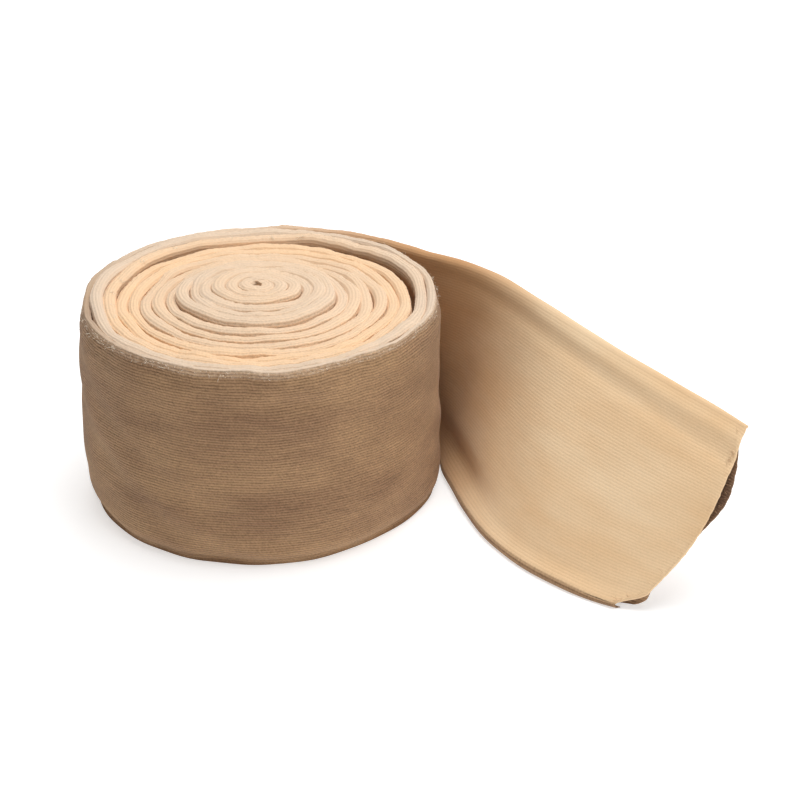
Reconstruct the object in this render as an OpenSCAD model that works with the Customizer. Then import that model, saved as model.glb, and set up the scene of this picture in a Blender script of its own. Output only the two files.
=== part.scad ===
// Elasticated tubular hand wrap, standing on one end as a roll with its free tail.
// The wrap is a flat knitted tube: an inner and an outer ply, joined by a fold along each long edge.
// Origin on the table under the roll's axis, +Z up, the tail leaves towards +X. Millimetres.

/* [Strip] */
// Width of the flattened tube, from fold to fold
strip_w = 75; // [60:1:90]
// Thickness of one knitted ply
ply_t = 2; // [1.6:0.1:2.1]
// Slit between the two plies
ply_gap = 0.2; // [0.1:0.05:0.3]

/* [Roll] */
// Radius of the strip's middle where the tail leaves, without the bulge
roll_r = 64.5; // [63:0.1:66]
// Direction from the roll's axis to the line where the tail leaves
peel_angle = 56; // [45:1:65]
// Distance from one turn to the next
pitch = 4.5; // [4.5:0.05:4.6]
// Whole turns in the roll
turns = 13; // [12:1:13]
// Innermost turns that can be pushed out of the roll
core_turns = 5; // [3:1:7]
// How far the core's outer turn stands out of the roll at rest
core_rise = 3; // [0:0.5:6]
// How much further each next turn of the core stands out
core_step = 0.8; // [0:0.1:1.5]
// Widest part of the gap between the loose outer turns and the rest
loose_gap = 5.2; // [0:0.1:5.2]
// Direction from the axis to the widest part of that gap
loose_angle = 45; // [40:1:50]

/* [Tail] */
// Length of the tail's top edge
top_len = 180; // [170:1:185]
// Length of the tail's bottom edge
bottom_len = 175; // [165:1:180]
// Height of the top edge at the cut end
end_z = 57; // [54:1:60]
// Length of top edge that stays level before it drops
level_len = 60; // [50:5:70]
// Bend line between the root and the middle of the tail, as a part of its length
flex_at = 0.36; // [0.33:0.01:0.4]
// Bend line between the middle and the tip of the tail
curl_at = 0.70; // [0.65:0.01:0.75]

/* [Hidden] */
strip_t = 2 * ply_t + ply_gap;
fold_r = strip_t / 2;
rim_h = 0.8;            // height of the rounded rim of a turn
rim_inset = 0.6;        // how much the rim draws in on each side
end_gap = 0.3;          // half the gap between the ends of neighbouring turns
bend_gap = 1.3;         // half the gap at a bend line, which leaves room to bend
seam_gap = 0.05;        // between a ply and a fold
turn_steps = 72;        // sides of one turn
tail_step = 4;          // length of one side of the tail's edges
fold_steps = 6;         // sides of a half-round fold
loose_half = 65;        // half the angle that the loose gap takes up
loose_last = 889;       // winding angle past which the turns are tight all round
top_heading = [[0, -31], [35, -33], [62, -47.5], [top_len, -47.5]];
bottom_heading = [[0, -32], [20, -46], [57, -80], [70, -77], [98, -73], [135, -52], [bottom_len, -32]];
face_colour = [0.66, 0.55, 0.43];
turn_colour = [0.93, 0.79, 0.61];
core_colour = [0.95, 0.84, 0.68];
inner_colour = [0.87, 0.75, 0.60];
fold_colour = [0.97, 0.88, 0.74];

// ---- the spiral: winding angle a is 0 at the peel line and grows inwards, anticlockwise ----

function off_loose(a) = abs((peel_angle + a - loose_angle + 180) % 360 - 180);
function bulge(a) = a > loose_last ? 0 : loose_gap * pow(cos(90 * min(1, off_loose(a) / loose_half)), 2);
function spiral_r(a) = roll_r - pitch * a / 360 + bulge(a);
function spiral_point(a, out) = (spiral_r(a) + out) * [cos(peel_angle + a), sin(peel_angle + a)];
// winding angle that an arc length makes at winding angle a
function arc_angle(a, len) = len / spiral_r(a) * 180 / PI;

// Plan of the strip between winding angles a0 and a1, half_t thick on each side of its middle
module strip_plan(a0, a1, half_t) {
    step = (a1 - a0) / turn_steps;
    polygon([
        for (i = [0 : turn_steps]) spiral_point(a0 + i * step, half_t),
        for (i = [turn_steps : -1 : 0]) spiral_point(a0 + i * step, -half_t)
    ]);
}

// Whole turn number n, counted from the inside, with a drawn-in rim at both folds
module turn(n) {
    outer = turns - n;
    a0 = outer * 360 + arc_angle(outer * 360, outer == 0 ? bend_gap : end_gap);
    a1 = (outer + 1) * 360 - arc_angle((outer + 1) * 360, end_gap);
    rise = n <= core_turns ? core_rise + core_step * (core_turns - n) : 0;
    colour = n == turns ? face_colour : n <= core_turns ? core_colour : turn_colour;
    color(colour) translate([0, 0, rise]) {
        linear_extrude(rim_h) strip_plan(a0, a1, fold_r - rim_inset);
        translate([0, 0, rim_h]) linear_extrude(strip_w - 2 * rim_h) strip_plan(a0, a1, fold_r);
        translate([0, 0, strip_w - rim_h]) linear_extrude(rim_h) strip_plan(a0, a1, fold_r - rim_inset);
    }
}

// The first end of the strip, folded over itself, which fills the hollow of the innermost turn
module start_fold() {
    rise = core_rise + core_step * core_turns;
    step = 360 / turn_steps;
    color(core_colour) translate([0, 0, rise]) linear_extrude(strip_w) polygon([
        for (i = [0 : turn_steps]) spiral_point((turns - 1) * 360 + i * step, -fold_r - end_gap)
    ]);
}

// ---- the tail: two edge curves drawn by their headings, joined by straight lines ----

function steps_of(len) = ceil(len / tail_step);
// Ends of n steps that follow a table of headings over a length
function walk(heading, len, n, p, i = 0) =
    i == n ? [p] :
    let (h = lookup((i + 0.5) * len / n, heading))
    concat([p], walk(heading, len, n, p + len / n * [cos(h), sin(h)], i + 1));
function along(points, u) =
    let (x = u * (len(points) - 1), i = min(len(points) - 2, floor(x))) points[i] + (x - i) * (points[i + 1] - points[i]);

edge_steps = steps_of(top_len);
peel_point = spiral_point(0, 0);
drop = atan((strip_w - end_z) / (top_len - level_len));
top_walk = walk(top_heading, level_len + (top_len - level_len) * cos(drop), edge_steps, peel_point);
bottom_walk = walk(bottom_heading, bottom_len, edge_steps, peel_point);

function top_edge(u) =
    let (p = along(top_walk, u), z = strip_w - max(0, u * top_len - level_len) * sin(drop)) [p.x, p.y, z];
function bottom_edge(u) = let (p = along(bottom_walk, u)) [p.x, p.y, 0];
function unit(v) = v / norm(v);
function up_strip(u) = unit(top_edge(u) - bottom_edge(u));
function forward(u) =
    let (a = max(0, u - 0.01), b = min(1, u + 0.01))
    top_edge(b) + bottom_edge(b) - top_edge(a) - bottom_edge(a);
// Unit vector out of the outer ply
function outward(u) = unit(cross(up_strip(u), forward(u))) * -1;
function top_centre(u) = top_edge(u) - fold_r * up_strip(u);
function bottom_centre(u) = let (p = bottom_edge(u) + fold_r * up_strip(u)) [p.x, p.y, fold_r];

// Cross-sections of the strip at u, as rings of points
function ply_ring(u, near, far) =
    let (low = bottom_centre(u) + seam_gap * up_strip(u), high = top_centre(u) - seam_gap * up_strip(u), n = outward(u))
    [low + near * n, low + far * n, high + far * n, high + near * n];
function fold_ring(u, centre, side) = let (n = outward(u), e = side * up_strip(u)) concat(
    [for (i = [0 : fold_steps]) let (t = 180 * i / fold_steps) centre + fold_r * (cos(t) * n + sin(t) * e)],
    [for (i = [fold_steps : -1 : 0]) let (t = 180 * i / fold_steps)
        centre + ply_gap / 2 * (cos(t) * n + sin(t) * e)]
);

// Solid swept through rings that have the same number of points
module swept(rings, turned) {
    n = len(rings[0]);
    last = len(rings) - 1;
    sides = [for (i = [0 : last - 1], j = [0 : n - 1]) let (k = (j + 1) % n, a = i * n, b = a + n)
        each [[a + j, b + j, b + k], [a + j, b + k, a + k]]];
    start = [for (j = [0 : n - 1]) j];
    end = [for (j = [n - 1 : -1 : 0]) last * n + j];
    faces = concat(sides, [start, end]);
    polyhedron(
        [for (ring = rings) each ring],
        turned ? [for (f = faces) [for (j = [len(f) - 1 : -1 : 0]) f[j]]] : faces,
        convexity = 4
    );
}

// The four parts of the strip between two places along the tail
function places(u0, u1) = let (n = max(3, round((u1 - u0) * edge_steps))) [for (i = [0 : n]) u0 + (u1 - u0) * i / n];
module outer_ply(u0, u1) {
    color(face_colour) swept([for (u = places(u0, u1)) ply_ring(u, ply_gap / 2, fold_r)], false);
}
module inner_ply(u0, u1) {
    color(inner_colour) swept([for (u = places(u0, u1)) ply_ring(u, -fold_r, -ply_gap / 2)], false);
}
module top_fold(u0, u1) {
    color(fold_colour) swept([for (u = places(u0, u1)) fold_ring(u, top_centre(u), 1)], false);
}
module bottom_fold(u0, u1) {
    color(fold_colour) swept([for (u = places(u0, u1)) fold_ring(u, bottom_centre(u), -1)], true);
}

bend = bend_gap / bottom_len;
root = [bend, flex_at - bend];
middle = [flex_at + bend, curl_at - bend];
tip = [curl_at + bend, 1];

start_fold();
turn(1);  // turn_01
turn(2);  // turn_02
turn(3);  // turn_03
turn(4);  // turn_04
turn(5);  // turn_05
turn(6);  // turn_06
turn(7);  // turn_07
turn(8);  // turn_08
turn(9);  // turn_09
turn(10);  // turn_10
turn(11);  // turn_11
turn(12);  // turn_12
turn(13);  // turn_13
inner_ply(root[0], root[1]);  // root_inner_ply
outer_ply(root[0], root[1]);  // root_outer_ply
top_fold(root[0], root[1]);  // root_top_fold
bottom_fold(root[0], root[1]);  // root_bottom_fold
inner_ply(middle[0], middle[1]);  // middle_inner_ply
outer_ply(middle[0], middle[1]);  // middle_outer_ply
top_fold(middle[0], middle[1]);  // middle_top_fold
bottom_fold(middle[0], middle[1]);  // middle_bottom_fold
inner_ply(tip[0], tip[1]);  // tip_inner_ply
outer_ply(tip[0], tip[1]);  // tip_outer_ply
top_fold(tip[0], tip[1]);  // tip_top_fold
bottom_fold(tip[0], tip[1]);  // tip_bottom_fold
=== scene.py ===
"""Looks of an elasticated tubular hand wrap: a roll that stands on one end, and its free tail.

The wrap is one knitted tube, pressed flat: an inner and an outer ply, joined by a fold along each edge.
Class Strip describes its whole length, and every piece is a stretch of it. Shapes are worked out in
millimetres and become metres when a mesh is made. A winding angle is counted inwards, in degrees, from
the peel line, where the tail leaves the roll.
"""

import logging
import math
from dataclasses import dataclass, field
from enum import Enum

import bmesh
import bpy
import numpy as np
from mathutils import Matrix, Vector

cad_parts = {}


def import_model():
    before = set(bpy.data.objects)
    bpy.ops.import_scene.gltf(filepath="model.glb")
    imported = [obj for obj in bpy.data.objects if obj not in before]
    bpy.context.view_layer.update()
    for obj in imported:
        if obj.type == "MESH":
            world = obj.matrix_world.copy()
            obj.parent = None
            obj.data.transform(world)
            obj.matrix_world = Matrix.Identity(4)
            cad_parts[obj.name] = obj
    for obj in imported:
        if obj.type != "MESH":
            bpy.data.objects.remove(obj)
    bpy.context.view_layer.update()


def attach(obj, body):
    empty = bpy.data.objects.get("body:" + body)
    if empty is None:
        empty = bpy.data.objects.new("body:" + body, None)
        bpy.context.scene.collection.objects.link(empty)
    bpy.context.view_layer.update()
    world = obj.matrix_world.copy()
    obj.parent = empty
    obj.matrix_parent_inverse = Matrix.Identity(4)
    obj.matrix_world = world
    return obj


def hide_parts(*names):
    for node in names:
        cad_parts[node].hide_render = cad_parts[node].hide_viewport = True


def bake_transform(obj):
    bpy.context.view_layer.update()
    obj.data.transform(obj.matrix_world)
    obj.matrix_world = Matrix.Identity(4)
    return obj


Array = np.ndarray
Material = bpy.types.Material
Socket = bpy.types.NodeSocket
MM = 0.001
FULL_TURN = 360.0
LOG = logging.getLogger("hand_wrap")


class Body(Enum):
    """The bodies that move on their own."""

    ROLL = "roll"
    CORE = "core"
    ROOT = "tail_root"
    MIDDLE = "tail_middle"
    TIP = "tail_tip"


class Slot(Enum):
    """The record's material slots."""

    OUTER = "outer_face"
    INNER = "inner_face"
    RIM = "fold_rim"
    WOUND = "wound_turns"


def smooth_step(x: Array, low: float, high: float) -> Array:
    """Goes smoothly from 0 at low to 1 at high, which may be below low."""
    t = np.clip((np.asarray(x, float) - low) / (high - low), 0.0, 1.0)
    return t * t * (3.0 - 2.0 * t)


def hump(x: Array, middle: float, half: float) -> Array:
    """A smooth hump that is 1 at middle and 0 from half away on either side."""
    t = np.clip(np.abs(np.asarray(x, float) - middle) / half, 0.0, 1.0)
    return np.cos(t * math.pi / 2) ** 2


def bell(x: Array, middle: float, width: float) -> Array:
    """A bell curve that is 1 at middle and about a third at width away."""
    return np.exp(-(((np.asarray(x, float) - middle) / width) ** 2))


def wander(x: Array, period: float, seed: int, waves: int = 6) -> Array:
    """Wanders smoothly about zero, mostly within plus and minus 1.

    Args:
        x: distance along the strip.
        period: the typical distance from one crest to the next.
        seed: which of the wanderings.
        waves: how many sines it adds up.

    Returns:
        Values shaped like x.
    """
    draw = np.random.default_rng(seed)
    periods = period * draw.uniform(0.6, 1.7, waves)
    phases = draw.uniform(0.0, 2 * math.pi, waves)
    x = np.asarray(x, float)
    return sum(np.sin(2 * math.pi * x / p + q) for p, q in zip(periods, phases)) / math.sqrt(waves)


def uneven(x: Array, wave: tuple) -> Array:
    """Wanders by a wave's height, wavelength and seed."""
    size, period, seed = wave
    return size * wander(x, period, seed)


def slanting_waves(x: Array, height: Array, waves: tuple) -> Array:
    """Adds up soft waves over the cloth, each given as its height, wavelength, slant and seed."""
    return sum(size * wander(x + slant * height, period, seed) for size, period, slant, seed in waves)


@dataclass(frozen=True)
class Knit:
    """Sizes of the knitted tube, pressed flat."""

    width: float = 75.0
    ply: float = 2.0
    slit: float = 0.2
    ribs: int = 156
    rib_depth: float = 0.17

    @property
    def half(self) -> float:
        """Half the thickness of the flattened tube."""
        return self.ply + self.slit / 2

    @property
    def straight(self) -> float:
        """Height of the flat faces, between the folds."""
        return self.width - 2 * self.half

    @property
    def fold(self) -> float:
        """Distance round one fold."""
        return math.pi * self.half

    @property
    def rib(self) -> float:
        """Distance from one lengthwise rib to the next."""
        return 2 * (self.straight + self.fold) / self.ribs


@dataclass(frozen=True)
class Winding:
    """The spiral of the roll."""

    radius: float = 64.5
    pitch: float = 4.5
    turns: int = 13
    core_turns: int = 5
    peel_angle: float = 56.0
    start_turns: float = 1.12
    # Where the tail's root starts, and how far the climbing turn goes to either side of the core's edge
    tail_from: float = 8.0
    climb_from: float = 56.0
    climb_to: float = 124.0
    # Slack of the outer turns: height, direction, half angle, and the winding angle that it ends at
    slack: tuple = ((5.2, 45.0, 65.0, 889.0), (2.4, 132.0, 62.0, 889.0), (0.9, 0.0, 45.0, 889.0))
    # Inner turns let out: height, direction, half angle, and where it starts and has faded
    let_out: tuple = ((0.7, 22.0, 60.0, 889.0, 4000.0),)
    # The innermost turns are a little oval: the radii where that starts and is full, and how much each way
    oval_radii: tuple = (27.0, 6.0)
    oval_stretch: float = 0.15
    oval_squeeze: float = 0.10

    def middle(self, angle: Array) -> Array:
        """Plan points of the strip's middle line, X and Y in the last axis.

        Args:
            angle: winding angles.

        Returns:
            The points, in millimetres.
        """
        angle = np.asarray(angle, float)
        turned = self.peel_angle + angle
        radius = self.radius - self.pitch * angle / FULL_TURN
        for height, direction, half, last in self.slack:
            off = (turned - direction + 180.0) % FULL_TURN - 180.0
            radius = radius + np.where(angle < last, height * hump(off, 0.0, half), 0.0)
        for height, direction, half, first, faded in self.let_out:
            off = (turned - direction + 180.0) % FULL_TURN - 180.0
            fade = smooth_step(angle, faded, first) * (angle > first)
            radius = radius + height * hump(off, 0.0, half) * fade
        oval = smooth_step(radius, *self.oval_radii)
        round_angle = np.radians(turned)
        x = radius * np.cos(round_angle) * (1.0 + self.oval_stretch * oval)
        y = radius * np.sin(round_angle) * (1.0 - self.oval_squeeze * oval)
        return np.stack([x, y], -1)

    def table(self) -> tuple:
        """Winding angles in fine steps, and how much strip lies between the peel line and each."""
        angle = np.arange(0.0, (self.turns + self.start_turns + 0.1) * FULL_TURN, 0.25)
        step = np.linalg.norm(np.diff(self.middle(angle), axis=0), axis=1)
        return angle, np.concatenate([[0.0], np.cumsum(step)])


@dataclass(frozen=True)
class TailRoute:
    """The two edges of the free tail, each drawn by its headings over its length."""

    top_length: float = 180.0
    bottom_length: float = 175.0
    end_height: float = 57.0
    # The upper edge stays level this far, and half of the bend after it is this long
    level: float = 60.0
    ease: float = 18.0
    # How far the lower edge turns out towards the roll's side, and where that starts and is full
    flare: float = 4.4
    flare_reach: tuple = (28.0, 62.0)
    top: tuple = ((0, -31), (35, -33), (62, -47.5), (180, -47.5))
    bottom: tuple = ((0, -32), (20, -46), (57, -80), (70, -77), (98, -73), (135, -52), (175, -32))
    steps: int = 360

    def walk(self, headings: tuple, length: float, start: Array) -> Array:
        """Follows a table of headings over the floor.

        Args:
            headings: pairs of a distance and the heading there, in degrees.
            length: how far it goes.
            start: the plan point that it starts from.

        Returns:
            The plan points, steps + 1 of them.
        """
        at = (np.arange(self.steps) + 0.5) * length / self.steps
        turned = np.radians(np.interp(at, *zip(*headings)))
        hops = np.stack([np.cos(turned), np.sin(turned)], -1) * length / self.steps
        return np.concatenate([[start], start + np.cumsum(hops, axis=0)])

    def edges(self, start: Array, width: float) -> tuple:
        """Both edges of the tail.

        Args:
            start: the peel point.
            width: the strip's width.

        Returns:
            Distances along the tail, and the lower and upper edge's points at them.
        """
        drop = math.atan((width - self.end_height) / (self.top_length - self.level))
        plan = self.level + (self.top_length - self.level) * math.cos(drop)
        top = self.walk(self.top, plan, start)
        bottom = self.walk(self.bottom, self.bottom_length, start)
        at = np.linspace(0.0, self.top_length, self.steps + 1)
        ahead = np.gradient(bottom, axis=0)
        outwards = np.stack([-ahead[:, 1], ahead[:, 0]], -1) / np.linalg.norm(ahead, axis=1)[:, None]
        bottom = bottom - self.flare * smooth_step(at, *self.flare_reach)[:, None] * outwards
        eased = np.clip(at - self.level + self.ease, 0.0, 2 * self.ease) ** 2 / (4 * self.ease)
        fall = (eased + np.maximum(0.0, at - self.level - self.ease)) * math.sin(drop)
        return at, np.column_stack([bottom, np.zeros(len(bottom))]), np.column_stack([top, width - fall])


@dataclass(frozen=True)
class TailRelief:
    """The free tail's hollows and swellings. Below 0 is towards the tail's inner face."""

    # A groove and a lip under the upper edge: height, distance from that edge, its growth along x, and width
    groove: tuple = (0.68, 4.6, 0.055, 3.4)
    lip: tuple = (-0.6, 2.0, 0.028, 2.8)
    groove_starts: tuple = (25.0, 95.0)
    # A crease near the lower edge: its height off the line, its place over the floor, and its width
    crease: tuple = (3.4, 11.0, 5.0)
    crease_along: tuple = (74.0, 44.0)
    # The foot: how far it stands out, the height over which it does, and where that starts and is full
    foot: float = 2.4
    foot_height: float = 9.0
    foot_starts: tuple = (28.0, 62.0)
    # Wide swellings: height, middle and half length
    bellies: tuple = ((1.0, 50.0, 40.0), (-3.0, 130.0, 60.0))
    waves: tuple = ((0.5, 66.0, 0.6, 21), (0.2, 41.0, -1.3, 22))
    free_from: float = 55.0

    def stand(self, x: Array, up: Array, height: Array, from_top: Array) -> Array:
        """How far the tail's cloth stands outwards of the straight line between its edges.

        Args:
            x: distances along the strip.
            up: share of the way from the lower to the upper fold.
            height: distance from the lower edge, in millimetres.
            from_top: distance from the upper edge, in millimetres.

        Returns:
            The offsets, in millimetres.
        """
        free = smooth_step(x, 0.0, self.free_from)
        rounded = np.sin(math.pi * up)
        depth, below, growth, width = self.groove
        total = depth * bell(from_top, below + growth * x, width) * smooth_step(x, *self.groove_starts)
        depth, below, growth, width = self.lip
        total = total + depth * bell(from_top, below + growth * x, width) * free
        depth, place, width = self.crease
        total = total + depth * bell(height, place, width) * hump(x, *self.crease_along)
        foot = self.foot * (1.0 - up) ** 2 * smooth_step(height, 0.0, self.foot_height)
        total = total + foot * smooth_step(x, *self.foot_starts)
        for depth, middle, half in self.bellies:
            total = total + depth * hump(x, middle, half) * rounded
        return total + slanting_waves(x, height, self.waves) * free * rounded


@dataclass(frozen=True)
class RollRelief:
    """Hollows and swellings of the roll's side. Depths are below 0, and places are degrees of the plan."""

    # Depth, and the heights over the floor where each starts and is full
    shoulder: tuple = (-1.9, 64.0, 75.0)
    tuck: tuple = (-3.4, 9.0, -1.0)
    # A dent under the rim: depth, height and width, and its place and half length
    dent: tuple = (-1.2, 64.5, 4.0)
    dent_along: tuple = (288.0, 45.0)
    waves: tuple = ((0.35, 58.0, 0.8, 31), (0.25, 37.0, -1.9, 32))
    # It starts where the tail leaves, and goes a little further than once round
    shown_from: float = -24.0
    shown_past: float = 20.0
    # The foot is pressed in on one side: depth, where that starts and is full at each end, and a deeper spot
    heel: float = 2.5
    heel_starts: tuple = (100.0, 160.0)
    heel_ends: tuple = (335.0, 275.0)
    heel_spot: tuple = (3.2, 318.0, 42.0)
    heel_heights: tuple = (24.0, -4.0)
    heel_turns: float = 6.0

    def side(self, x: Array, angle: Array, place: Array, height: Array) -> Array:
        """How far the outermost turn's outer ply stands proud, where it shows on the side of the roll.

        Args:
            x: distances along the strip.
            angle: winding angles there.
            place: directions from the roll's middle, in degrees.
            height: distances over the lower edge, in millimetres.

        Returns:
            The offsets, in millimetres.
        """
        shown = smooth_step(x, 0.0, self.shown_from) * (angle < FULL_TURN + self.shown_past)
        bends = 0.0
        for depth, *heights in (self.shoulder, self.tuck):
            bends = bends + depth * smooth_step(height, *heights) ** 2
        depth, *where = self.dent
        dent = depth * bell(height, *where) * hump(place, *self.dent_along)
        return shown * (bends + dent + slanting_waves(x, height, self.waves))

    def pressed_heel(self, x: Array, angle: Array, place: Array, height: Array) -> Array:
        """How far the foot of the roll is pressed in, less and less from turn to turn inwards."""
        depth = self.heel * smooth_step(place, *self.heel_starts) * smooth_step(place, *self.heel_ends)
        more, *where = self.heel_spot
        fade = smooth_step(angle, self.heel_turns * FULL_TURN, 0.0) * (x < 0.0)
        return -(depth + more * hump(place, *where)) * smooth_step(height, *self.heel_heights) * fade


@dataclass
class Section:
    """The closed outline across the strip.

    It goes up the inner ply, over the top fold, down the outer ply and under. across is the place through
    the thickness and over the rise above a fold's middle, both in half thicknesses. up is the share of the
    way between the folds, around the distance round the outline, and below the distance under the top fold.
    """

    knit: Knit
    inner_ribs: bool = False
    outer_ribs: bool = False
    rim_reach: float = 6.5
    per_rib: int = 4
    across: Array = field(init=False)
    up: Array = field(init=False)
    over: Array = field(init=False)
    around: Array = field(init=False)
    below: Array = field(init=False)

    def __post_init__(self) -> None:
        """Works the outline out."""
        half, straight, fold = self.knit.half, self.knit.straight, self.knit.fold
        legs = []
        for height in self.face_places(self.inner_ribs):
            legs.append((-1.0, height / straight, 0.0, height, straight - height))
        for place in np.arange(0.0, fold, self.knit.rib / self.per_rib):
            turned = place / half
            legs.append((-math.cos(turned), 1.0, math.sin(turned), straight + place, 0.0))
        for height in straight - self.face_places(self.outer_ribs)[::-1]:
            legs.append((1.0, 1.0 - height / straight, 0.0, straight + fold + height, height))
        for place in np.linspace(0.0, fold, 12, endpoint=False):
            turned = place / half
            legs.append((math.cos(turned), 0.0, -math.sin(turned), 2 * straight + fold + place, straight))
        legs.append((-1.0, 0.0, 0.0, 2 * (straight + fold), straight))
        self.across, self.up, self.over, self.around, self.below = np.array(legs).T

    def face_places(self, ribbed: bool) -> Array:
        """Heights along a ply's face: several to a rib where its ribs show, and few where they don't."""
        straight = self.knit.straight
        fine = self.knit.rib / self.per_rib
        if ribbed:
            return np.arange(0.0, straight, fine)
        hidden = np.linspace(0.0, straight - self.rim_reach, 12, endpoint=False)
        return np.concatenate([hidden, np.arange(straight - self.rim_reach, straight, fine)])


@dataclass
class Strip:
    """The whole wrap, by the distance x along it: below 0 in the roll, above 0 in the tail.

    Where numbers share a name and nothing else is said, they are a height and then its places, or a wave's
    height, wavelength and seed.
    """

    knit: Knit = field(default_factory=Knit)
    winding: Winding = field(default_factory=Winding)
    route: TailRoute = field(default_factory=TailRoute)
    relief: TailRelief = field(default_factory=TailRelief)
    side: RollRelief = field(default_factory=RollRelief)
    # The top fold's height over the strip's width, by turns inwards from the peel line
    crest: tuple = (
        (0.0, 0.0), (0.34, -0.9), (0.46, 1.6), (0.7, 2.2), (0.86, 0.2), (1.1, 0.2), (1.45, 1.0), (1.7, 1.7),
        (1.9, 0.1), (2.1, 0.1), (2.35, 0.1), (2.6, 1.0), (3.1, -1.3), (3.6, 0.5), (4.1, -1.1), (4.6, 0.8),
        (5.1, -0.8), (5.6, 1.3), (6.1, -0.5), (6.6, 2.1), (7.1, 0.2), (7.6, 3.0), (8.1, 0.0), (8.6, 1.3),
        (9.1, 0.0), (9.6, 0.8), (10.1, 0.0), (10.6, 0.4), (11.1, 0.0), (14.0, 0.0),
    )
    # How far the strip stands up out of the roll, by turns
    climb: tuple = (
        (7.844, 0.0), (8.344, 3.5), (8.9, 3.6), (10.6, 4.3), (10.9, 4.3), (11.15, 5.9), (12.3, 6.0),
        (13.0, 6.5),
    )
    # Warmth of the yarn's colour from cream, by turns
    warmth: tuple = (
        (0.0, 0.0), (0.9, 0.05), (1.1, 0.05), (1.9, 0.2), (2.2, 0.75), (2.9, 0.9), (3.6, 0.95), (4.4, 0.9),
        (4.8, 0.65), (5.4, 0.55), (6.4, 0.6), (7.4, 0.45), (8.2, 0.3), (10.8, 0.25), (11.1, 0.4),
        (13.0, 0.35),
    )
    core_angle: float = 2824.0
    # Unevenness of the top fold, and of the winding
    crest_waves: tuple = ((0.30, 38.0, 5), (0.14, 11.0, 6), (0.06, 3.1, 7))
    wobble: tuple = (0.15, 46.0, 11)
    # The cut end bows out and runs on at its corners, the lower of which is clipped
    bow: float = 8.9
    corner: float = 3.2
    foot_corner: float = 4.6
    clipped_corner: float = 5.8
    clipped_up: float = 0.09
    ragged: tuple = (0.07, 2.9, 41)
    # The outer ply's cut edge is behind the inner ply's, but ahead at a belly and at the foot
    outer_behind: float = 1.2
    outer_belly: tuple = (3.4, 0.68, 0.29)
    outer_foot: tuple = (2.6, 0.10)
    # How far the end's lower and upper edges are lifted, and how far from it that starts
    foot_lift: float = 0.6
    end_lift: float = 2.3
    end_lift_from: float = 110.0
    # The mouth gapes: how wide, and its middle and half height, or its width at the lower fold
    gape: float = 1.4
    gape_up: tuple = (0.68, 0.33)
    fold_gape: float = 4.4
    fold_gape_up: tuple = (0.04, 0.06)
    end_press: float = 0.42
    # How far from the cut end the bow, the gape, the press and the lower fold's gape start
    bow_reach: float = 46.0
    gape_reach: float = 30.0
    press_reach: float = 26.0
    fold_gape_reach: float = 16.0
    # How much thicker the turns are at their rims, where they swell and touch, and how far down that goes
    plump: float = 0.20
    core_plump: float = 0.30
    plump_below: float = 7.0
    plump_waves: tuple = (0.55, 70.0, 81)
    thick_waves: tuple = (0.05, 27.0, 51)
    rough: tuple = (0.10, 3.1, 71)
    # How much squarer than round the folds are in the roll
    squarer: float = 0.7
    core_squarer: float = 1.0
    # Ribs are stretched nearly flat in the tail
    rubbed: float = 0.82
    lean: tuple = (0.4, 33.0, 61)
    lean_heights: tuple = (66.0, 75.0)
    angles: Array = field(init=False)
    lengths: Array = field(init=False)
    tail_x: Array = field(init=False)
    tail_low: Array = field(init=False)
    tail_high: Array = field(init=False)

    def __post_init__(self) -> None:
        """Samples the spiral and the tail's edges once."""
        self.angles, self.lengths = self.winding.table()
        start = self.winding.middle(np.array(0.0))
        self.tail_x, self.tail_low, self.tail_high = self.route.edges(start, self.knit.width)

    @property
    def end(self) -> float:
        """Distance along the strip of the tail's cut end."""
        return self.route.top_length

    def x_at(self, angle: float) -> float:
        """Distance along the strip of a winding angle."""
        return -float(np.interp(angle, self.angles, self.lengths))

    def angle_at(self, x: Array) -> Array:
        """Winding angle at a distance along the strip, 0 in the tail."""
        return np.interp(-np.asarray(x, float), self.lengths, self.angles)

    def along(self, points: Array, x: Array) -> Array:
        """Places on one of the tail's edges, carried straight on past its end."""
        inside = np.clip(x, 0.0, self.end)
        found = np.stack([np.interp(inside, self.tail_x, points[:, axis]) for axis in range(3)], -1)
        last = (points[-1] - points[-9]) / (self.tail_x[-1] - self.tail_x[-9])
        return found + np.maximum(0.0, x - self.end)[..., None] * last

    def rise(self, turn: Array) -> Array:
        """How far the strip stands up out of the roll."""
        total = np.zeros_like(turn)
        for (t0, h0), (t1, h1) in zip(self.climb, self.climb[1:]):
            total = total + (h1 - h0) * smooth_step(turn, t0, t1)
        return total

    def crest_height(self, x: Array, turn: Array) -> Array:
        """How far the top fold is over the strip's width."""
        return np.interp(turn, *zip(*self.crest)) + sum(uneven(x, wave) for wave in self.crest_waves)

    def rails(self, x: Array) -> tuple:
        """The strip's lower and upper edge.

        Args:
            x: distances along the strip.

        Returns:
            Two arrays with X, Y and Z in their last axis.
        """
        x = np.asarray(x, float)
        angle = self.angle_at(x)
        turn = angle / FULL_TURN
        plan = self.winding.middle(angle)
        wobble = uneven(x, self.wobble) * smooth_step(x, 0.0, -30.0)
        plan = plan * (1.0 + wobble / np.linalg.norm(plan, axis=-1))[..., None]
        rise = self.rise(turn)
        crest = self.crest_height(x, turn) * smooth_step(x, 40.0, 0.0)
        low = np.concatenate([plan, rise[..., None]], -1)
        high = np.concatenate([plan, (self.knit.width + rise + crest)[..., None]], -1)
        tail = (x > 0.0)[..., None]
        lift = crest + self.end_lift * smooth_step(x, self.end_lift_from, self.end)
        upright = np.array([0.0, 0.0, 1.0])
        lifted = self.along(self.tail_high, x) + lift[..., None] * upright
        foot = self.foot_lift * smooth_step(x, self.end - 12.0, self.end + 6.0)
        lower = self.along(self.tail_low, x) + foot[..., None] * upright
        return np.where(tail, lower, low), np.where(tail, lifted, high)

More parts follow.
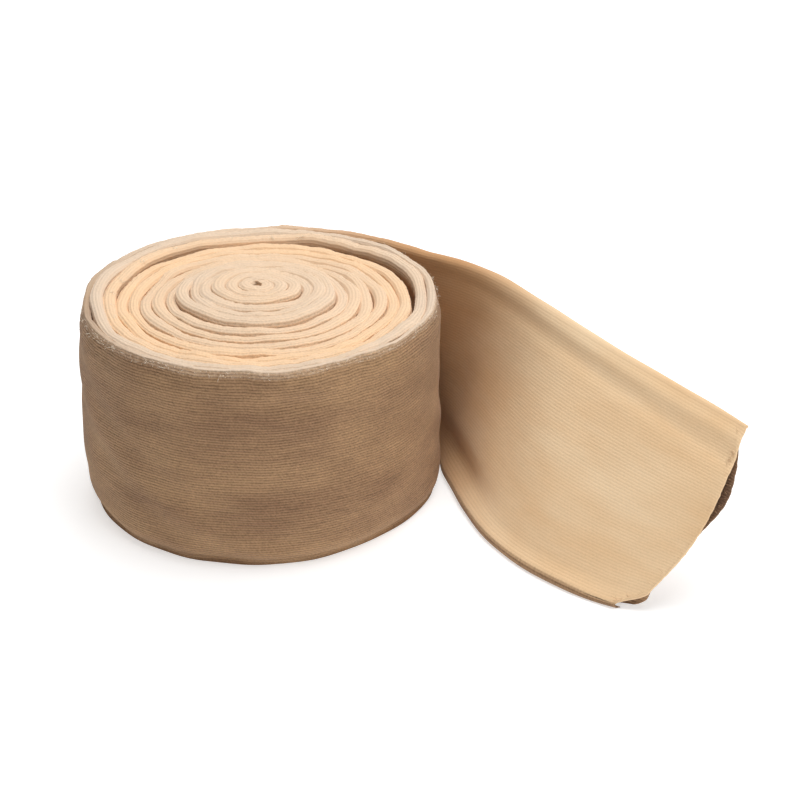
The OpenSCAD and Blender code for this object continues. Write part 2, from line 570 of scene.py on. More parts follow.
    def directions(self, x: Array, hop: float = 0.6) -> tuple:
        """Unit vectors up the strip and outwards, through the outer ply."""
        low, high = self.rails(x)
        low_next, high_next = self.rails(x + hop)
        low_last, high_last = self.rails(x - hop)
        forward = low_next + high_next - low_last - high_last
        up = high - low
        up = up / np.linalg.norm(up, axis=-1, keepdims=True)
        inwards = np.cross(forward, up)
        return up, -inwards / np.linalg.norm(inwards, axis=-1, keepdims=True)

    def bowed(self, up: Array) -> Array:
        """How far the cut end runs beyond the straight line between its corners, by share of the height."""
        up = np.clip(up, 0.0, 1.0)
        clipped = self.clipped_corner * smooth_step(up, self.clipped_up, 0.0)
        corners = self.corner * up**2 + self.foot_corner * (1.0 - up) ** 2
        return self.bow * np.sin(math.pi * up) + corners - clipped

    def outer_ahead(self, up: Array) -> Array:
        """How far the outer ply's cut edge runs past the inner ply's, by share of the height."""
        belly, *where = self.outer_belly
        foot, reach = self.outer_foot
        return belly * hump(up, *where) + foot * smooth_step(up, reach, 0.0) - self.outer_behind

    def gaping(self, up: Array) -> Array:
        """How far the plies stand apart at the cut end, by share of the height."""
        return self.gape * hump(up, *self.gape_up)

    def to_end(self, x: Array, reach: float) -> Array:
        """Goes smoothly from 0 to 1 over the last reach of the tail."""
        return smooth_step(x, self.end - reach, self.end)

    @staticmethod
    def squared(across: Array, over: Array, squareness: Array) -> tuple:
        """Turns the half round of a fold squarer: 2 leaves it round."""
        size = (np.abs(across) ** squareness + np.abs(over) ** squareness) ** (-1.0 / squareness)
        shaped = np.where(over > 0.0, size, 1.0)
        return across * shaped, over * shaped

    def surface(self, x: Array, inset: Array, section: Section) -> Array:
        """Points of the tube's skin.

        Args:
            x: distance along the strip of each row.
            inset: 0 on the outside of the tube, 1 on the inside of its plies, for each row.
            section: the outline across the strip.

        Returns:
            Rows by outline points by 3, in millimetres.
        """
        half = self.knit.half
        x, inset = x[:, None], inset[:, None]
        up, across, over = section.up[None, :], section.across[None, :], section.over[None, :]
        angle = self.angle_at(x)
        direction = (self.winding.peel_angle + angle) % FULL_TURN
        near_end = self.to_end(x, self.bow_reach)
        outer = np.clip(across, 0.0, 1.0)
        ragged = uneven(section.around, self.ragged)[None, :] * near_end**6
        place = x + self.bowed(up) * near_end + self.outer_ahead(up) * outer * near_end**3 + ragged
        low, high = self.rails(place)
        upward, out = self.directions(place)
        pressed = 1.0 - self.end_press * self.to_end(x, self.press_reach)
        core = x < self.x_at(self.core_angle)
        rolled = smooth_step(x, 10.0, -25.0)
        plump = np.where(core, self.core_plump, self.plump) * (1.0 + uneven(x, self.plump_waves))
        touching = 1.0 + plump * rolled * smooth_step(section.below, self.plump_below, 0.0)[None, :]
        thick = half * pressed * touching * (1.0 + uneven(x, self.thick_waves)) * (1.0 - inset)
        thick = thick + (self.knit.slit / 2 + 0.05) * inset
        rib = np.abs(np.sin(math.pi * section.around / self.knit.rib))[None, :] - 1.0
        rubbed = 1.0 - self.rubbed * smooth_step(x, -20.0, 40.0)
        rough = uneven(x + 3.0 * section.around[None, :], self.rough) * rolled
        rough = rough * (section.below < self.plump_below)
        squareness = 2.0 + rolled * np.where(core, self.core_squarer, self.squarer)
        across, over = self.squared(across, over, squareness)
        outer = np.clip(across, 0.0, 1.0)
        reach = thick + (self.knit.rib_depth * rubbed * rib + rough) * (1.0 - inset)
        pulled_in = half * pressed[..., None] * upward
        low_fold, high_fold = low + pulled_in, high - pulled_in
        straight = np.linalg.norm(high_fold - low_fold, axis=-1)
        height = half + up * straight + over * half
        gape = self.gaping(up) * self.to_end(x, self.gape_reach)
        puffed = self.fold_gape * bell(up, *self.fold_gape_up) * self.to_end(x, self.fold_gape_reach)
        lean = uneven(x, self.lean) * smooth_step(x, 0.0, -20.0) * smooth_step(height, *self.lean_heights)
        stand = across * (reach + gape / 2) + lean + outer * puffed
        from_top = straight + 2 * half - height
        stand = stand + np.where(x > 0.0, self.relief.stand(x, up, height, from_top), 0.0)
        stand = stand + self.side.side(x, angle, direction, height) * outer * (1.0 - inset)
        stand = stand + self.side.pressed_heel(x, angle, direction, height)
        base = low_fold + up[..., None] * (high_fold - low_fold)
        return base + stand[..., None] * out + (over * reach)[..., None] * upward


@dataclass(frozen=True)
class Tones:
    """Where on the tube each tone of the yarn is, and where shade is painted, by shares from 0 to 1."""

    # How far under the top fold the rim's colour fades
    rim_reach: float = 8.0
    # What the outer ply's brown takes of it: everywhere, more on the outermost turn, and the turns of that
    brown: tuple = (0.1, 0.18, 1.15, 0.95)
    brown_across: tuple = (0.7, 4.0)
    free: tuple = (-70.0, 25.0)
    # Painted shade by the roll: the distances along the tail where it starts to fade and where it is gone
    open: tuple = (30.0, 106.0)
    handled: tuple = (0.6, 0.36, 0.2)
    # The outer ply's colour reaches well round the lower fold: heights over its middle, in millimetres
    outer_round: tuple = (1.2, -0.8)
    # The raw edge's brown with painted shade inside the tube's mouth: everywhere, the outer ply's sliver and
    # the lower fold
    cut: tuple = (0.15, 0.85, 0.10)

    def facts(self, strip: Strip, section: Section, x: Array, inset: Array, column: Array) -> dict:
        """Each tone's share at every point of a mesh.

        Args:
            strip: the wrap.
            section: the outline across it.
            x: each point's distance along the strip.
            inset: 1 for each point on the inside of the plies, and 0 for the others.
            column: each point's number on the outline.

        Returns:
            The shares by name.
        """
        across, up = section.across[column], section.up[column]
        turn = strip.angle_at(x) / FULL_TURN
        least, more, *turns = self.brown
        brown = least + more * smooth_step(turn, *turns)
        start, slope = self.brown_across
        brown = brown * smooth_step(across, start - slope * (brown - least), 1.0)
        above_fold = up * strip.knit.straight + section.over[column] * strip.knit.half
        # Painted shade inside the tube's mouth, over the raw edge's own brown
        plain, sliver, fold = self.cut
        cut = plain + sliver * smooth_step(across, -0.2, 0.3) * hump(up, 0.66, 0.36)
        size, *handled = self.handled
        return {
            "rim": np.clip(1.0 - section.below[column] / self.rim_reach - brown, 0, 1),
            "outer": np.maximum((across + 1.0) / 2.0, smooth_step(above_fold, *self.outer_round)),
            "warmth": np.interp(turn, *zip(*strip.warmth)),
            "cut": smooth_step(inset, 0.3, 0.9) * (cut + fold * smooth_step(up, 0.16, 0.04)),
            "free": smooth_step(x, *self.free),
            # Share of the tail that is out of the painted shade by the roll
            "open": smooth_step(x, *self.open),
            "handled": size * hump(turn, *handled),
        }


def sweep(
    name: str, strip: Strip, section: Section, x: Array, inset: Array | None = None
) -> bpy.types.Object:
    """Makes a stretch of the strip as a closed skin.

    Its UV map holds the distances along the strip and round it, in metres, and its attributes hold the
    yarn's tones and where shade is painted.

    Args:
        name: the piece's name.
        strip: the wrap.
        section: the outline across it.
        x: the distances along the strip of its rows.
        inset: 1 for each row on the inside of the plies, 0 for the others, or None for all 0.

    Returns:
        The object.
    """
    inset = np.zeros_like(x) if inset is None else inset
    rows, columns = len(x), len(section.around)
    points = strip.surface(x, inset, section) * MM
    bm = bmesh.new()
    bmesh.ops.create_grid(bm, x_segments=columns - 1, y_segments=rows - 1, size=1.0)
    mesh = bpy.data.meshes.new(name)
    bm.to_mesh(mesh)
    bm.free()
    flat = np.empty(len(mesh.vertices) * 3, np.float32)
    mesh.vertices.foreach_get("co", flat)
    flat = flat.reshape(-1, 3)
    spot = (flat - flat.min(0)) / np.maximum(np.ptp(flat, 0), 1e-9)
    column = np.rint(spot[:, 0] * (columns - 1)).astype(int)
    row = np.rint(spot[:, 1] * (rows - 1)).astype(int)
    mesh.vertices.foreach_set("co", points[row, column].astype(np.float32).ravel())
    corners = np.empty(len(mesh.loops), np.int32)
    mesh.loops.foreach_get("vertex_index", corners)
    places = np.stack([x[row[corners]] * MM, section.around[column[corners]] * MM], -1)
    mesh.uv_layers.new(name="strip").data.foreach_set("uv", places.astype(np.float32).ravel())
    for fact, values in Tones().facts(strip, section, x[row], inset[row], column).items():
        mesh.attributes.new(fact, "FLOAT", "POINT").data.foreach_set("value", values.astype(np.float32))
    bm = bmesh.new()
    bm.from_mesh(mesh)
    bm.verts.ensure_lookup_table()
    seam = [bm.verts[i] for i in np.nonzero((column == 0) | (column == columns - 1))[0]]
    bmesh.ops.remove_doubles(bm, verts=seam, dist=1e-7)
    mouths = [edge for edge in bm.edges if edge.is_boundary]
    for edge in mouths:
        edge.smooth = False
    bmesh.ops.holes_fill(bm, edges=mouths, sides=0)
    bmesh.ops.recalc_face_normals(bm, faces=bm.faces[:])
    for face in bm.faces:
        face.smooth = len(face.verts) <= 4
    bm.to_mesh(mesh)
    bm.free()
    piece = bpy.data.objects.new(name, mesh)
    bpy.context.collection.objects.link(piece)
    return piece


def linked(name: str, bm: bmesh.types.BMesh) -> bpy.types.Object:
    """Turns a mesh in the making into an object in the scene."""
    mesh = bpy.data.meshes.new(name)
    bm.to_mesh(mesh)
    bm.free()
    piece = bpy.data.objects.new(name, mesh)
    bpy.context.collection.objects.link(piece)
    return piece


def spread(start: float, end: float, step: float) -> Array:
    """Even rows from start to end, about step apart."""
    return np.linspace(start, end, max(3, round(abs(end - start) / step) + 1))


def linear(colour: str) -> tuple:
    """Linear RGBA of an sRGB hex colour."""
    values = [int(colour[i : i + 2], 16) / 255 for i in (1, 3, 5)]
    return (*(v / 12.92 if v <= 0.04045 else ((v + 0.055) / 1.055) ** 2.4 for v in values), 1.0)


@dataclass(frozen=True)
class Graph:
    """A material's node tree, and the steps that build it. Each gives the socket with its result."""

    tree: bpy.types.NodeTree

    def add(self, kind: str, inputs: dict | None = None, **settings: object) -> bpy.types.Node:
        """Adds a node with its settings, and a value or a link on each input that is named.

        Args:
            kind: the node's type, without the common prefix.
            inputs: socket names or numbers, each with a value or with the socket that feeds it.
            settings: the node's own properties.

        Returns:
            The node.
        """
        node = self.tree.nodes.new("ShaderNode" + kind)
        for name, value in settings.items():
            setattr(node, name, value)
        for socket, value in (inputs or {}).items():
            if isinstance(value, Socket):
                self.tree.links.new(value, node.inputs[socket])
            else:
                node.inputs[socket].default_value = value
        return node

    def math(self, operation: str, *values: object) -> Socket:
        """One step of arithmetic on sockets and numbers."""
        return self.add("Math", dict(enumerate(values)), operation=operation).outputs[0]

    def scaled(self, value: object, factor: object, offset: object) -> Socket:
        """A value times a factor, and an offset more."""
        return self.math("MULTIPLY_ADD", value, factor, offset)

    def centred(self, value: Socket, size: float) -> Socket:
        """A value from 0 to 1, moved to plus and minus half of size."""
        return self.scaled(value, size, -size / 2)

    def mix(self, factor: object, low: object, high: object, blend: str = "MIX") -> Socket:
        """Mixes two colours, each a hex string or a socket, by a factor."""
        low = linear(low) if isinstance(low, str) else low
        high = linear(high) if isinstance(high, str) else high
        return self.add("Mix", {0: factor, 6: low, 7: high}, data_type="RGBA", blend_type=blend).outputs[2]

    def noise(self, place: object, scale: float, detail: float, roughness: float) -> Socket:
        """Noise from 0 to 1."""
        inputs = {"Vector": place, "Scale": scale, "Detail": detail, "Roughness": roughness}
        return self.add("TexNoise", inputs).outputs["Fac"]

    def stretched(self, place: Socket, scale: tuple) -> Socket:
        """A place scaled along each axis."""
        return self.add("Mapping", {"Vector": place, "Scale": scale}).outputs[0]

    def between(self, value: Socket, low: float, high: float) -> Socket:
        """Goes from 0 at low to 1 at high."""
        return self.add("MapRange", {"Value": value, "From Min": low, "From Max": high}).outputs[0]


def fresh_material(name: str, roughness: float, sheen: float) -> tuple:
    """A new node material with a matt textile's constants on its shader.

    Args:
        name: the material's name.
        roughness: the shader's roughness.
        sheen: weight of the fuzz's sheen.

    Returns:
        The material and its shader.
    """
    material = bpy.data.materials.new(name)
    material.use_nodes = True
    shader = material.node_tree.nodes["Principled BSDF"]
    shader.inputs["Roughness"].default_value = roughness
    shader.inputs["Sheen Weight"].default_value = sheen
    shader.inputs["Sheen Roughness"].default_value = 0.55
    shader.inputs["Specular IOR Level"].default_value = 0.2
    return material, shader


@dataclass(frozen=True)
class KnitFinish:
    """Flat-knitted cotton over covered elastic: matt and a little fuzzy, ribbed along the strip.

    The outer ply is greyer than the inner one, from handling, and the folds keep the yarn's own cream. Shade
    is painted by the roll, inside the tube's mouth and in the rib valleys, and sheen streaks along the
    strip.
    """

    name: str
    outer: tuple = ("#8B6B50", "#A98764")
    inner: tuple = ("#E7C296", "#EFD1AA")
    # Painted shade on the inner ply in the narrow wedge between the tail and the roll
    shaded: tuple = ("#C99768", "#CFA277")
    rim: tuple = ("#E1CAB2", "#F4CEA5")
    # Brown of the raw edge, dark enough to paint the shade inside the tube's mouth
    cut: str = "#6E5340"
    rim_edge: tuple = (0.66, 0.97)
    roughness: float = 0.93
    sheen: float = 0.10
    rib: float = Knit().rib
    course: float = 1.3
    # Uneven dye and handling marks, some 50 mm along the strip and 20 mm across it, and painted sheen
    # streaks along the strip
    mottle_scale: tuple = (15.0, 44.0, 1.0)
    mottle_range: tuple = (0.34, 0.66)
    sheen_streak_scale: tuple = (90.0, 900.0, 1.0)
    # How uneven the rim's warmth and its lower edge are
    warm_patches: float = 0.5
    jags: float = 0.30
    # How much each part of the pattern shades the colour
    rib_shade: tuple = (0.42, -0.27)
    sheen_streak_shade: float = 0.48
    fuzz_shade: float = 1.1
    stitch_shade: float = 0.08
    # The handled outer ply shows the pattern more than the clean inner one, and the rim less than both
    pattern_share: tuple = (0.86, 0.14)
    rim_loss: float = 0.62
    brightness: float = 0.96
    # Heights of the ribs, the stitches and the fuzz in the bump, and what the plies have of the first two
    bump_heights: tuple = (0.9, 0.25, 0.9)
    bump_share: tuple = (0.75, 0.25)

    def make(self) -> Material:
        """Builds the material."""
        material, shader = fresh_material(self.name, self.roughness, self.sheen)
        graph = Graph(material.node_tree)
        place = graph.add("TexCoord").outputs["Object"]
        uv = graph.add("UVMap", uv_map="strip").outputs["UV"]
        split = graph.add("SeparateXYZ", {"Vector": uv})
        along, around = split.outputs["X"], split.outputs["Y"]
        names = ("rim", "outer", "warmth", "cut", "free", "open", "handled")
        facts = {name: graph.add("Attribute", attribute_name=name).outputs["Fac"] for name in names}
        blotches = graph.noise(graph.stretched(uv, self.mottle_scale), 1.0, 3.0, 0.62)
        mottle = graph.between(blotches, *self.mottle_range)
        # Painted sheen streaks along the strip
        streak = graph.noise(graph.stretched(uv, self.sheen_streak_scale), 1.0, 2.0, 0.6)
        fuzz = graph.noise(place, 1300.0, 2.0, 0.7)
        outer = graph.mix(mottle, *self.outer)
        # The inner ply gets painted shade near the roll, fading out along the tail
        inner = graph.mix(facts["open"], graph.mix(mottle, *self.shaded), graph.mix(mottle, *self.inner))
        ply = graph.mix(facts["outer"], inner, outer)
        patches = graph.centred(graph.noise(place, 60.0, 2.0, 0.5), self.warm_patches)
        warmth = graph.add("Clamp", {"Value": graph.math("ADD", facts["warmth"], patches)}).outputs[0]
        rim = graph.mix(facts["handled"], graph.mix(warmth, *self.rim), outer)
        rim = graph.mix(facts["free"], rim, inner)
        edge = graph.math("ADD", facts["rim"], graph.centred(graph.noise(place, 950.0, 2.0, 0.6), self.jags))
        on_rim = graph.between(edge, *self.rim_edge)
        # Inside the tube's mouth the cloth takes the raw edge's brown with painted shade
        cloth = graph.mix(facts["cut"], graph.mix(on_rim, ply, rim), self.cut)
        # Rib valleys are coloured darker than the crests: painted shade in the valleys, with the dirt that
        # gathers there
        wave = graph.math("MULTIPLY", around, math.pi / (self.rib * MM))
        rib = graph.math("ABSOLUTE", graph.math("SINE", wave))
        # Stitches along each rib, every other rib half a stitch further on
        turned = graph.scaled(along, 2 * math.pi / (self.course * MM), wave)
        stitch = graph.scaled(graph.math("SINE", turned), 0.5, 0.5)
        strength = graph.scaled(facts["outer"], *self.pattern_share)
        strength = graph.math("MULTIPLY", strength, graph.scaled(on_rim, -self.rim_loss, 1.0))
        pattern = graph.scaled(rib, *self.rib_shade)
        sizes = (self.sheen_streak_shade, self.fuzz_shade, self.stitch_shade)
        for part, size in zip((streak, fuzz, stitch), sizes):
            pattern = graph.math("ADD", pattern, graph.centred(part, size))
        shade = graph.scaled(pattern, strength, self.brightness)
        grey = graph.add("CombineColor", {0: shade, 1: shade, 2: shade}).outputs[0]
        colour = graph.mix(1.0, cloth, grey, "MULTIPLY")
        graph.tree.links.new(colour, shader.inputs["Base Color"])
        rib_high, stitch_high, fuzz_high = self.bump_heights
        height = graph.scaled(stitch, stitch_high, graph.math("MULTIPLY", rib, rib_high))
        height = graph.math("MULTIPLY", height, graph.scaled(facts["outer"], *self.bump_share))
        height = graph.math("ADD", height, graph.math("MULTIPLY", fuzz, fuzz_high))
        bump = graph.add("Bump", {"Height": height, "Strength": 0.6, "Distance": 0.2 * MM})
        graph.tree.links.new(bump.outputs[0], shader.inputs["Normal"])
        return material


@dataclass(frozen=True)
class YarnFinish:
    """Loose spun cotton: soft, matt single fibres."""

    name: str
    colour: str

    def make(self) -> Material:
        """Builds the material."""
        material, shader = fresh_material(self.name, 0.95, 0.3)
        shader.inputs["Base Color"].default_value = linear(self.colour)
        return material


@dataclass
class Dressing:
    """What every piece of cloth is given after its mesh is made."""

    strip: Strip

    def dress(self, piece: bpy.types.Object, material: Material, length: float) -> None:
        """Args:
            piece: the object.
            material: its finish.
            length: how much of the strip it is, in millimetres.
        """
        piece.data.materials.append(material)
        LOG.info("%s: %d faces, %.0f mm of strip", piece.name, len(piece.data.polygons), abs(length))


    def turn(self, number: int, body: Body, material: Material, slot: Slot, step: float) -> None:
        """Makes one turn of the roll, less what its neighbours take of it.

        Args:
            number: which turn, from the inside out.
            body: what it moves with.
            material: its finish.
            slot: not used.
            step: how far apart its rows are.
        """
        strip, winding = self.strip, self.strip.winding
        first = (winding.turns - number + 1) * FULL_TURN
        last = first - FULL_TURN
        if number == winding.core_turns:
            last += winding.climb_to
        if number == winding.core_turns + 1:
            first -= winding.climb_from
        outermost = number == winding.turns
        if outermost:
            last = winding.tail_from
        rows = spread(strip.x_at(first), strip.x_at(last), step)
        turn = sweep(f"knit_turn_{number:02d}", strip, Section(strip.knit, outer_ribs=outermost), rows)
        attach(turn, body.value)
        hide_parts(f"turn_{number:02d}")
        self.dress(turn, material, rows[-1] - rows[0])


@dataclass
class Core:
    """The innermost turns, which stand a little out of the roll and slide in it together."""

    strip: Strip
    finish: Material
    step: float = 1.25
    start_step: float = 0.6

    def build(self) -> None:
        """Makes the start fold, the core's turns, and the half turn that climbs up to them."""
        strip, winding = self.strip, self.strip.winding
        section = Section(strip.knit)
        dressing = Dressing(strip)
        inner_end = winding.turns * FULL_TURN
        inmost = inner_end + winding.start_turns * FULL_TURN
        rows = spread(strip.x_at(inmost), strip.x_at(inner_end), self.start_step)
        start = sweep("knit_start_fold", strip, section, rows)
        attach(start, Body.CORE.value)
        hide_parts("start_fold")
        dressing.dress(start, self.finish, rows[-1] - rows[0])
        for number in range(1, winding.core_turns + 1):
            dressing.turn(number, Body.CORE, self.finish, Slot.WOUND, self.step)
        middle = (winding.turns - winding.core_turns) * FULL_TURN
        first, last = middle + winding.climb_to, middle - winding.climb_from
        rows = spread(strip.x_at(first), strip.x_at(last), self.step)
        climb = sweep("knit_climbing_turn", strip, section, rows)
        dressing.dress(climb, self.finish, rows[-1] - rows[0])
        ends = [strip.rails(np.array(x))[0] * MM for x in (rows[-1], rows[0])]
        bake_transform(climb)


@dataclass
class Roll:
    """The outer turns, which stand on the floor."""

    strip: Strip
    wound: Material
    outermost: Material
    step: float = 1.35
    outer_step: float = 1.9

    def build(self) -> None:
        """Makes the turns outside the core."""
        winding, dressing = self.strip.winding, Dressing(self.strip)
        for number in range(winding.core_turns + 1, winding.turns):
            dressing.turn(number, Body.ROLL, self.wound, Slot.WOUND, self.step)
        dressing.turn(winding.turns, Body.ROLL, self.outermost, Slot.OUTER, self.outer_step)


@dataclass
class Tail:
    """The free tail: a root that swings off the roll, a middle and a tip, with the cut end of the tube."""

    strip: Strip
    finish: Material
    step: float = 1.5
    root_end: float = 44.0
    middle_end: float = 102.0
    mouth_depth: float = 15.0
    # Where on the tail each bend starts and ends
    bends: tuple = ((-3.0, 22.0), (48.0, 80.0), (108.0, 142.0))

    def build(self) -> None:
        """Makes the three pieces of the tail."""
        strip = self.strip
        section = Section(strip.knit, inner_ribs=True, outer_ribs=True)
        starts = (strip.x_at(strip.winding.tail_from), self.root_end, self.middle_end)
        ends = (self.root_end, self.middle_end, strip.end)
        bodies = (Body.ROLL, Body.ROOT, Body.MIDDLE, Body.TIP)
        for number, stretch in enumerate(("root", "middle", "tip")):
            rows = spread(starts[number], ends[number], self.step)
            inset = np.zeros_like(rows)
            if bodies[number + 1] is Body.TIP:
                rows, inset = self.with_mouth(rows)
            piece = sweep(f"knit_tail_{stretch}", strip, section, rows, inset)
            nodes = [f"{stretch}_{part}" for part in ("inner_ply", "outer_ply", "top_fold", "bottom_fold")]
            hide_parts(*nodes)
            Dressing(strip).dress(piece, self.finish, ends[number] - starts[number])
            zone = [self.middle_point(x) for x in self.bends[number]]
            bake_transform(piece)

    def with_mouth(self, rows: Array) -> tuple:
        """Rows of the tip, turned over the cut edge and back up the inside of the tube, and their insets."""
        end = self.strip.end
        lip = np.array([end + 0.15, end + 0.2, end + 0.1])
        back = spread(end - 0.6, end - self.mouth_depth, 3.0)
        inset = [np.zeros_like(rows), np.array([0.25, 0.6, 0.9]), np.ones_like(back)]
        return np.concatenate([rows, lip, back]), np.concatenate(inset)

    def middle_point(self, x: float) -> tuple:
        """The middle of the strip at a distance along it, in metres."""
        low, high = self.strip.rails(np.array(x))
        return tuple((low + high) / 2 * MM)


@dataclass
class Fuzz:
    """Loose fibres: at the cut end of the tube, on the outermost rim, and lint between the turns."""

    strip: Strip
    cut_yarn: Material
    lint: Material
    fibre: float = 0.055
    seed: int = 17

    def build(self) -> None:
        """Makes the three groups of fibres."""
        draw = np.random.default_rng(self.seed)
        self.end_fibres(draw)
        self.rim_fibres(draw)
        self.lint_bits(draw)

    def grow(self, name: str, roots: Array, aims: Array, droop: Array) -> bpy.types.Object:
        """Makes fibres, each a thin bent spindle.

        Args:
            name: the piece's name.
            roots: where each starts, in millimetres.
            aims: where each points, as long as the fibre.
            droop: how far each one's end bends aside.

        Returns:
            The object.
        """
        bm = bmesh.new()
        for root, aim, bend in zip(roots, aims, droop):
            side = np.cross(aim, (0.3, 0.5, 0.8))
            side = side / np.linalg.norm(side)
            other = np.cross(aim / np.linalg.norm(aim), side)
            made = bmesh.ops.create_grid(bm, x_segments=3, y_segments=4, size=1.0)
            for vert in made["verts"]:
                turned, t = (vert.co.x + 1) * math.pi, (vert.co.y + 1) / 2
                wide = self.fibre * math.sqrt(max(0.0, 4 * t * (1 - t)))
                spot = root + aim * t + bend * t * t
                spot = spot + (side * math.cos(turned) + other * math.sin(turned)) * wide
                vert.co = Vector(spot * MM)
        bmesh.ops.remove_doubles(bm, verts=bm.verts[:], dist=2e-6)
        bmesh.ops.recalc_face_normals(bm, faces=bm.faces[:])
        piece = linked(name, bm)
        piece.data.polygons.foreach_set("use_smooth", [True] * len(piece.data.polygons))
        LOG.info("%s: %d fibres", name, len(roots))
        return piece

    def end_fibres(self, draw: np.random.Generator, count: int = 420) -> None:
        """Frayed yarn ends along the cut edge."""
        strip = self.strip
        up = draw.uniform(0.0, 1.0, count)
        ply = draw.choice((-1.0, 1.0), count)
        x = strip.end + strip.bowed(up) + strip.outer_ahead(up) * (ply > 0) - 0.1
        low, high = strip.rails(x)
        upward, out = strip.directions(x)
        forward = np.cross(upward, out)
        half = strip.knit.half
        spot = low + half * upward + up[:, None] * (high - low - 2 * half * upward)
        wide = np.linalg.norm(high - low, axis=-1)
        hang = strip.relief.stand(np.full(count, strip.end), up, up * wide, (1.0 - up) * wide)
        through = ply * draw.uniform(0.2, 0.9, count) + ply * strip.gaping(up) / 2 + hang
        roots = spot + through[:, None] * out
        reach = draw.uniform(0.6, 1.9, count)[:, None]
        aims = (forward + draw.normal(0.0, 0.55, (count, 3))) * reach
        droop = draw.normal(0.0, 0.4, (count, 3))
        piece = self.grow("frayed_end", roots, aims, droop)
        piece.data.materials.append(self.cut_yarn)
        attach(piece, Body.TIP.value)

    def rim_fibres(self, draw: np.random.Generator, count: int = 520) -> None:
        """Short fibres that stand off the outermost rim."""
        strip = self.strip
        x = draw.uniform(strip.x_at(352.0), strip.x_at(14.0), count)
        _, high = strip.rails(x)
        upward, out = strip.directions(x)
        turned = draw.uniform(0.1, 1.5, count)
        half = strip.knit.half * 0.93
        rise, stand = np.sin(turned) * half, np.cos(turned) * half - 0.6 * np.cos(turned)
        roots = high - strip.knit.half * upward + rise[:, None] * upward + stand[:, None] * out
        lean = np.sin(turned)[:, None] * upward + np.cos(turned)[:, None] * out
        aims = (lean + draw.normal(0.0, 0.9, (count, 3))) * draw.uniform(0.25, 0.7, count)[:, None]
        piece = self.grow("rim_fuzz", roots, aims, draw.normal(0.0, 0.3, (count, 3)))
        piece.data.materials.append(self.lint)
        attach(piece, Body.ROLL.value)

    def lint_bits(self, draw: np.random.Generator, per_bit: int = 24) -> None:
        """White bits of lint caught in the open gap between the turns."""
        strip = self.strip
        bits = np.array((728.0, 741.0, 752.0, 767.0, 790.0, 808.0, 826.0, 838.0, 849.0, 861.0))
        angle = np.repeat(bits, per_bit) + draw.normal(0.0, 0.5, len(bits) * per_bit)
        x = np.interp(angle, strip.angles, -strip.lengths)
        _, high = strip.rails(x)
        upward, out = strip.directions(x)
        across = np.repeat(draw.uniform(-1.6, -0.6, len(bits)), per_bit)
        across = across + draw.normal(0.0, 0.25, len(x))
        roots = high + draw.normal(0.1, 0.25, len(x))[:, None] * upward + across[:, None] * out
        aims = draw.normal(0.0, 0.7, (len(x), 3))
        piece = self.grow("gap_lint", roots, aims, draw.normal(0.0, 0.4, (len(x), 3)))
        piece.data.materials.append(self.lint)
        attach(piece, Body.ROLL.value)


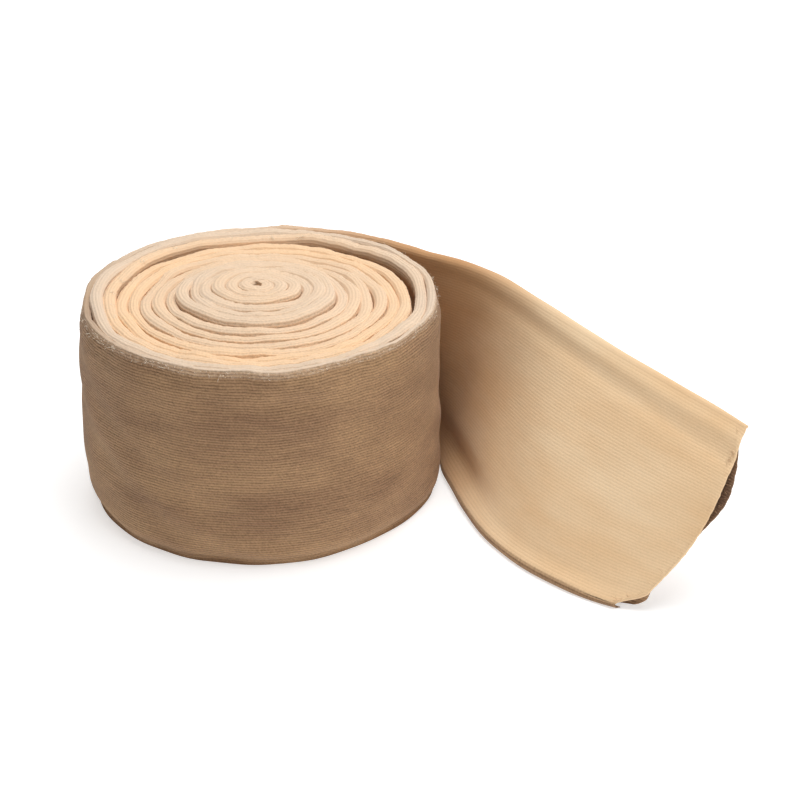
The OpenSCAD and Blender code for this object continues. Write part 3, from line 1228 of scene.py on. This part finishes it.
@dataclass
class Studio:
    """A pale floor, soft light from above, a weak fill from the front, and the camera."""

    camera_at: tuple = (0.0503, -1.0711, 0.5763)
    look_at: tuple = (0.0503, 0.0, 0.0352)
    lens: float = 148.1
    floor_radius: float = 3.0
    backdrop_height: float = 0.8
    # The floor is just under the wrap, so that the two don't share a plane
    floor_drop: float = 0.0003
    floor_grey: tuple = (0.68, 0.68, 0.68, 1.0)
    floor_glow: float = 0.55
    world_glow: float = 0.10
    # Each light: where it is, what it points at, its side in metres and its power in watts
    overhead: tuple = ((0.25, 0.25, 1.5), (0.08, 0.0, 0.0), 1.5, 29.0)
    fill: tuple = ((1.4, -1.2, 0.8), (0.05, 0.0, 0.04), 1.0, 8.0)

    def build(self) -> None:
        """Makes the floor, the lights and the camera."""
        self.floor()
        self.light("overhead_softbox", *self.overhead)
        self.light("front_fill", *self.fill)
        world = bpy.data.worlds.new("pale_studio")
        world.use_nodes = True
        background = world.node_tree.nodes["Background"]
        background.inputs["Color"].default_value = (1.0, 1.0, 1.0, 1.0)
        background.inputs["Strength"].default_value = self.world_glow
        scene = bpy.context.scene
        scene.world = world
        scene.view_settings.view_transform = "Standard"
        self.camera(scene)

    def floor(self) -> None:
        """Makes the floor and a low backdrop all round it, of one matt sheet."""
        bm = bmesh.new()
        bmesh.ops.create_circle(bm, cap_ends=True, segments=96, radius=self.floor_radius)
        bmesh.ops.translate(bm, verts=bm.verts[:], vec=(0.0, 0.0, -self.floor_drop))
        rim = [edge for edge in bm.edges if edge.is_boundary]
        raised = bmesh.ops.extrude_edge_only(bm, edges=rim)["geom"]
        lifted = [part for part in raised if isinstance(part, bmesh.types.BMVert)]
        bmesh.ops.translate(bm, verts=lifted, vec=(0.0, 0.0, self.backdrop_height))
        floor = linked("studio_floor", bm)
        material, shader = fresh_material("matt_white_backdrop_paper", 1.0, 0.0)
        shader.inputs["Base Color"].default_value = self.floor_grey
        shader.inputs["Emission Color"].default_value = (1.0, 1.0, 1.0, 1.0)
        shader.inputs["Emission Strength"].default_value = self.floor_glow
        floor.data.materials.append(material)

    def light(self, name: str, at: tuple, aim: tuple, size: float, power: float) -> None:
        """Makes a square soft light.

        Args:
            name: its name.
            at: where it is.
            aim: what it points at.
            size: its side, in metres.
            power: its power, in watts.
        """
        data = bpy.data.lights.new(name, "AREA")
        data.size = size
        data.energy = power
        lamp = bpy.data.objects.new(name, data)
        lamp.location = at
        lamp.rotation_mode = "QUATERNION"
        lamp.rotation_quaternion = (Vector(aim) - Vector(at)).to_track_quat("-Z", "Y")
        bpy.context.collection.objects.link(lamp)

    def camera(self, scene: bpy.types.Scene) -> None:
        """Makes the camera."""
        data = bpy.data.cameras.new("studio_camera")
        data.sensor_width = 36.0
        data.lens = self.lens
        camera = bpy.data.objects.new("studio_camera", data)
        camera.location = self.camera_at
        camera.rotation_mode = "QUATERNION"
        sight = Vector(self.look_at) - Vector(self.camera_at)
        camera.rotation_quaternion = sight.to_track_quat("-Z", "Y")
        bpy.context.collection.objects.link(camera)
        scene.camera = camera


def main() -> None:
    """Builds the wrap and its studio."""
    logging.basicConfig(level=logging.INFO, format="%(message)s")
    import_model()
    strip = Strip()
    wound = KnitFinish(
        "flat_knit_cotton_elastic_wound", inner=("#C99C70", "#DDB58A"), outer=("#B98B62", "#D0A67C")
    )
    outermost = KnitFinish("flat_knit_cotton_elastic_handled")
    tail = KnitFinish("flat_knit_cotton_elastic_free")
    cut_yarn = YarnFinish("spun_cotton_cut_ends", "#C39C74")
    lint = YarnFinish("cotton_lint", "#F6EBD6")
    wound_material = wound.make()
    Core(strip, wound_material).build()
    Roll(strip, wound_material, outermost.make()).build()
    Tail(strip, tail.make()).build()
    Fuzz(strip, cut_yarn.make(), lint.make()).build()
    Studio().build()
    bpy.context.view_layer.update()


if __name__ == "__main__":
    main()
